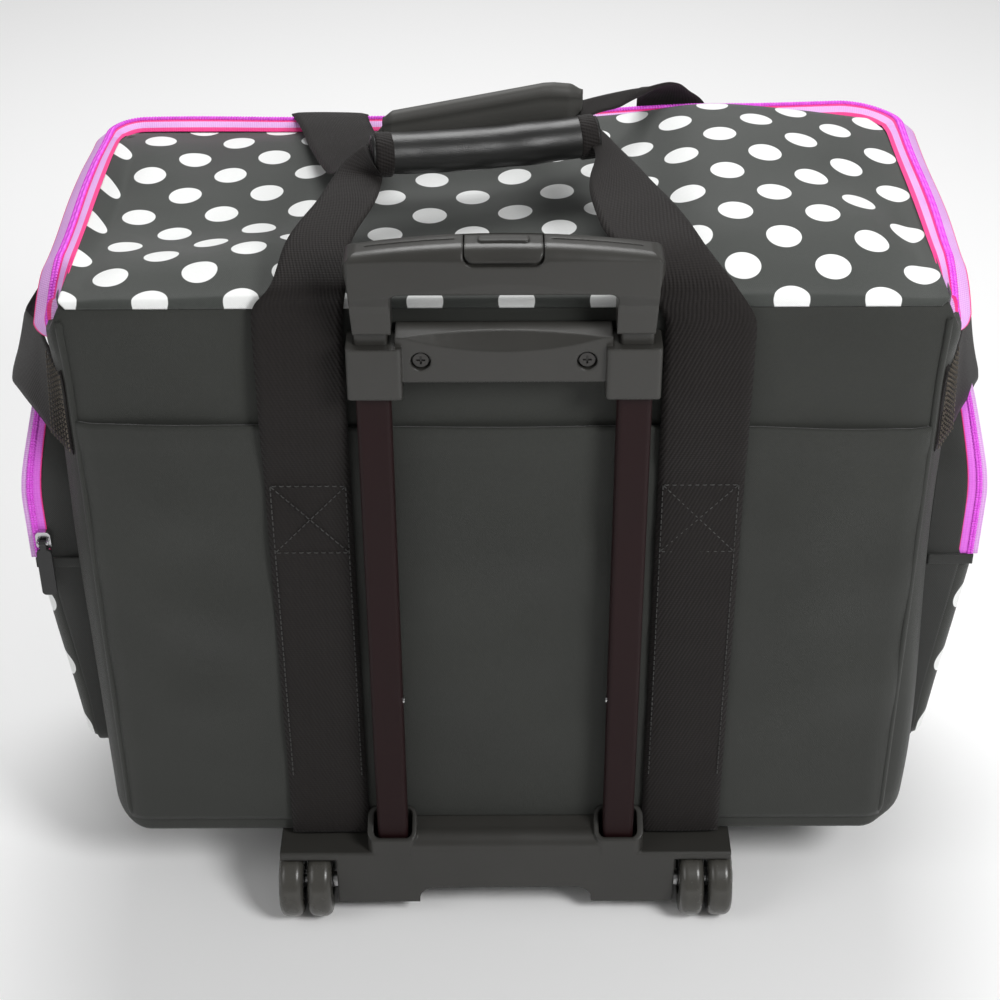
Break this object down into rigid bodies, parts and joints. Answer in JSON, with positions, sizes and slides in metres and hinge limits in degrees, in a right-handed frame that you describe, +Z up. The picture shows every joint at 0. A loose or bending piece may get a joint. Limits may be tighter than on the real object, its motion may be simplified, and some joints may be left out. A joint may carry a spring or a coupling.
{
  "type": "rolling sewing machine bag",
  "caption": "Soft trolley case for a sewing machine: hinged dotted lid, zipped side and front pockets, webbing carry handles, telescopic handle and twin wheels.",
  "frame": {"origin": "middle of the footprint, on the floor that the wheels and front feet stand on", "axes": "+X to the right seen from the trolley side, +Y from the trolley side towards the front of the bag, +Z up"},
  "size_m": [0.6338, 0.333, 0.513],
  "materials": {
    "cloth": "heavy twill polyester over foam, dark greenish grey",
    "gusset": "twill polyester, dark grey",
    "dotted": "dark grey cloth with a common print of off-white round dots",
    "lining": "plain nylon lining",
    "board": "hardboard, uncoated",
    "webbing": "ribbed polyester webbing, 50 mm wide",
    "zip": "bright magenta zip tape with a silvery coil",
    "slider": "nickel-plated zinc",
    "pull": "black tab",
    "plastic": "moulded black nylon, fine grain",
    "tube": "dark maroon-black powder coat on aluminium",
    "inner_tube": "satin anodised",
    "steel": "zinc-plated",
    "wheel": "moulded rubber on a nylon hub",
    "vinyl": "smooth glossy vinyl over a foam core"
  },
  "bodies": {
    "bag": {"back_panel": "cloth", "front_panel": "cloth", "side_panel_left": "cloth", "side_panel_right": "cloth", "bottom_panel": "cloth", "slip_pocket": "cloth", "side_pocket_left": "gusset", "side_pocket_right": "gusset", "front_pocket": "gusset", "lining": "lining", "back_board": "board", "base_board": "board", "back_straps": "webbing", "front_straps": "webbing", "tie_down_straps": "webbing", "rim_zip_tape": "zip", "pocket_zip_left": "zip", "pocket_zip_right": "zip", "pocket_zip_front": "zip", "base_moulding": "plastic", "handle_bracket": "plastic", "neck_bushes": "plastic", "tie_down_buckles": "plastic", "front_feet": "plastic", "outer_tubes": "tube", "tube_rivets": "steel", "trolley_screws": "steel", "wheel_axles": "steel"},
    "lid": {"lid_panel": "dotted", "lid_lining": "lining", "lid_zip_tape": "zip"},
    "back_handle": {"back_handle_strap": "webbing", "back_grip": "vinyl"},
    "front_handle": {"front_handle_strap": "webbing", "front_grip": "vinyl"},
    "side_loop_left": {"side_handle_left": "webbing"},
    "side_loop_right": {"side_handle_right": "webbing"},
    "flap_left": {"pocket_flap_left": "dotted"},
    "flap_right": {"pocket_flap_right": "dotted"},
    "flap_front": {"pocket_flap_front": "dotted"},
    "mid_stage": {"mid_tubes": "inner_tube", "mid_collars": "plastic"},
    "handle_stage": {"inner_tubes": "inner_tube", "trolley_handle": "plastic", "button_spring": "steel"},
    "button": {"push_button": "plastic"},
    "wheel_1": {"wheel_left_outer": "wheel"},
    "wheel_2": {"wheel_left_inner": "wheel"},
    "wheel_3": {"wheel_right_inner": "wheel"},
    "wheel_4": {"wheel_right_outer": "wheel"},
    "zip_lid_left": {"lid_slider_left": "slider"},
    "zip_lid_right": {"lid_slider_right": "slider"},
    "zip_left": {"pocket_slider_left": "slider"},
    "zip_right": {"pocket_slider_right": "slider"},
    "zip_front": {"pocket_slider_front": "slider"},
    "tab_lid_left": {"lid_pull_left": "pull"},
    "tab_lid_right": {"lid_pull_right": "pull"},
    "tab_left": {"pocket_pull_left": "pull"},
    "tab_right": {"pocket_pull_right": "pull"},
    "tab_front": {"pocket_pull_front": "pull"}
  },
  "joints": [
    {"name": "lid_open", "type": "hinge", "parent": "bag", "child": "lid", "pos_m": [0, -0.1305, 0.444], "axis": [-1, 0, 0], "range_deg": [-78, 0]},
    {"name": "back_handle_swing", "type": "hinge", "parent": "bag", "child": "back_handle", "pos_m": [0, -0.1343, 0.444], "axis": [-1, 0, 0], "range_deg": [-78, 0]},
    {"name": "front_handle_swing", "type": "hinge", "parent": "bag", "child": "front_handle", "pos_m": [0, 0.141, 0.444], "axis": [1, 0, 0], "range_deg": [-224.25, 0], "deforming": ["front_handle_strap"]},
    {"name": "side_loop_left_lift", "type": "hinge", "parent": "bag", "child": "side_loop_left", "pos_m": [-0.2564, -0.0015, 0.38], "axis": [0, 1, 0], "range_deg": [0, 104.5], "deforming": ["side_handle_left"]},
    {"name": "side_loop_right_lift", "type": "hinge", "parent": "bag", "child": "side_loop_right", "pos_m": [0.2564, -0.0015, 0.38], "axis": [0, -1, 0], "range_deg": [0, 104.5], "deforming": ["side_handle_right"]},
    {"name": "flap_left_open", "type": "hinge", "parent": "bag", "child": "flap_left", "pos_m": [-0.291, -0.0015, 0.262], "axis": [0, -1, 0], "range_deg": [0, 55]},
    {"name": "flap_right_open", "type": "hinge", "parent": "bag", "child": "flap_right", "pos_m": [0.291, -0.0015, 0.262], "axis": [0, 1, 0], "range_deg": [0, 55]},
    {"name": "flap_front_open", "type": "hinge", "parent": "bag", "child": "flap_front", "pos_m": [0, 0.1665, 0.168], "axis": [-1, 0, 0], "range_deg": [0, 55]},
    {"name": "mid_stage_slide", "type": "slide", "parent": "bag", "child": "mid_stage", "axis": [0, 0, 1], "range_m": [0, 0.27]},
    {"name": "handle_stage_slide", "type": "slide", "parent": "mid_stage", "child": "handle_stage", "axis": [0, 0, 1], "range_m": [0, 0.27]},
    {"name": "button_press", "type": "slide", "parent": "handle_stage", "child": "button", "axis": [0, 0, -1], "range_m": [0, 0.002], "stiffness_N_per_m": 600, "springref_m": -0.003, "deforming": ["button_spring"]},
    {"name": "wheel_left_outer_spin", "type": "hinge", "parent": "bag", "child": "wheel_1", "pos_m": [0, -0.142, 0.0245], "axis": [1, 0, 0], "continuous": true},
    {"name": "wheel_left_inner_spin", "type": "hinge", "parent": "bag", "child": "wheel_2", "pos_m": [0, -0.142, 0.0245], "axis": [1, 0, 0], "continuous": true},
    {"name": "wheel_right_inner_spin", "type": "hinge", "parent": "bag", "child": "wheel_3", "pos_m": [0, -0.142, 0.0245], "axis": [1, 0, 0], "continuous": true},
    {"name": "wheel_right_outer_spin", "type": "hinge", "parent": "bag", "child": "wheel_4", "pos_m": [0, -0.142, 0.0245], "axis": [1, 0, 0], "continuous": true},
    {"name": "lid_slider_left_run", "type": "slide", "parent": "bag", "child": "zip_lid_left", "axis": [-1, 0, 0], "range_m": [0, 0.19]},
    {"name": "lid_pull_left_swing", "type": "hinge", "parent": "zip_lid_left", "child": "tab_lid_left", "pos_m": [-0.008, 0.1355, 0.438], "axis": [1, 0, 0], "range_deg": [0, 150]},
    {"name": "lid_slider_right_run", "type": "slide", "parent": "bag", "child": "zip_lid_right", "axis": [1, 0, 0], "range_m": [0, 0.19]},
    {"name": "lid_pull_right_swing", "type": "hinge", "parent": "zip_lid_right", "child": "tab_lid_right", "pos_m": [0.008, 0.1355, 0.438], "axis": [1, 0, 0], "range_deg": [0, 150]},
    {"name": "pocket_slider_left_run", "type": "slide", "parent": "bag", "child": "zip_left", "axis": [0, 0, 1], "range_m": [0, 0.034]},
    {"name": "pocket_pull_left_swing", "type": "hinge", "parent": "zip_left", "child": "tab_left", "pos_m": [-0.2761, -0.1162, 0.277], "axis": [-1, 0, 0], "range_deg": [0, 150]},
    {"name": "pocket_slider_right_run", "type": "slide", "parent": "bag", "child": "zip_right", "axis": [0, 0, 1], "range_m": [0, 0.034]},
    {"name": "pocket_pull_right_swing", "type": "hinge", "parent": "zip_right", "child": "tab_right", "pos_m": [0.2761, 0.1132, 0.277], "axis": [1, 0, 0], "range_deg": [0, 150]},
    {"name": "pocket_slider_front_run", "type": "slide", "parent": "bag", "child": "zip_front", "axis": [0, 0, 1], "range_m": [0, 0.034]},
    {"name": "pocket_pull_front_swing", "type": "hinge", "parent": "zip_front", "child": "tab_front", "pos_m": [-0.2077, 0.1516, 0.183], "axis": [0, 1, 0], "range_deg": [0, 150]}
  ],
  "couplings": [
    {"joint": "back_handle_swing", "follows": "lid_open", "ratio": 1},
    {"joint": "front_handle_swing", "follows": "lid_open", "ratio": 2.875},
    {"joint": "side_loop_left_lift", "follows": "flap_left_open", "ratio": 1.9},
    {"joint": "side_loop_right_lift", "follows": "flap_right_open", "ratio": 1.9}
  ]
}
